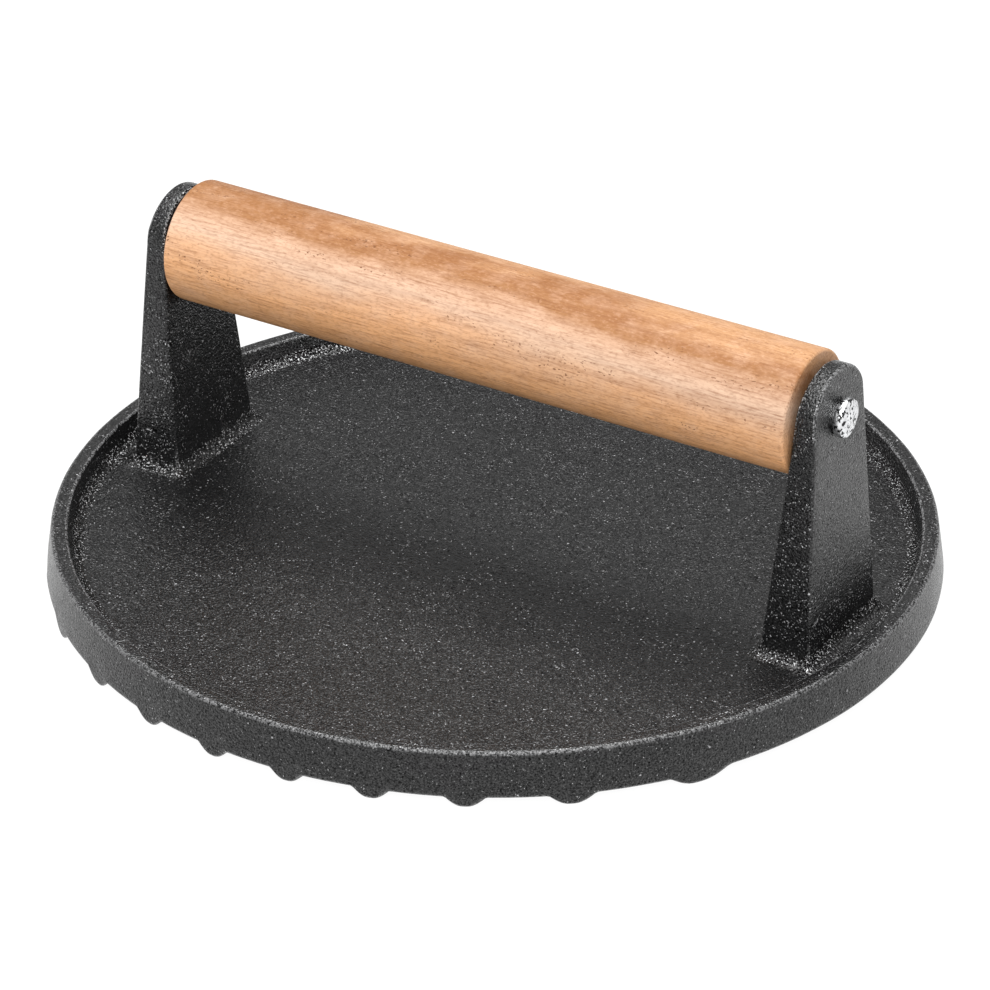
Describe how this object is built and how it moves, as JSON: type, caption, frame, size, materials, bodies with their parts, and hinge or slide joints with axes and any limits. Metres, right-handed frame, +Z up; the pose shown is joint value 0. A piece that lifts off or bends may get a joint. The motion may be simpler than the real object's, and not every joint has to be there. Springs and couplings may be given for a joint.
{
  "type": "bacon press",
  "caption": "Round cast-iron bacon press: a dished disc with ribs underneath and a wooden grip that turns on a rod between two upright posts.",
  "frame": {"origin": "centre of the disc, on the plane of the rib crests that the press stands on", "axes": "+Z up out of the disc towards the grip; the grip and its rod lie along X; the ribs run along Y"},
  "size_m": [0.178, 0.178, 0.0659],
  "materials": {
    "cast_iron": "sand-cast, dark seasoned, slightly pebbled",
    "beech": "turned and sanded, thin clear oil",
    "bright_steel": "bright, with hammered heads"
  },
  "bodies": {
    "press": {"cast_iron_press": "cast_iron", "rivet_rod": "bright_steel"},
    "grip": {"wooden_grip": "beech"}
  },
  "joints": [
    {"name": "grip_turn", "type": "hinge", "parent": "press", "child": "grip", "pos_m": [0, 0, 0.0536], "axis": [1, 0, 0], "continuous": true}
  ]
}
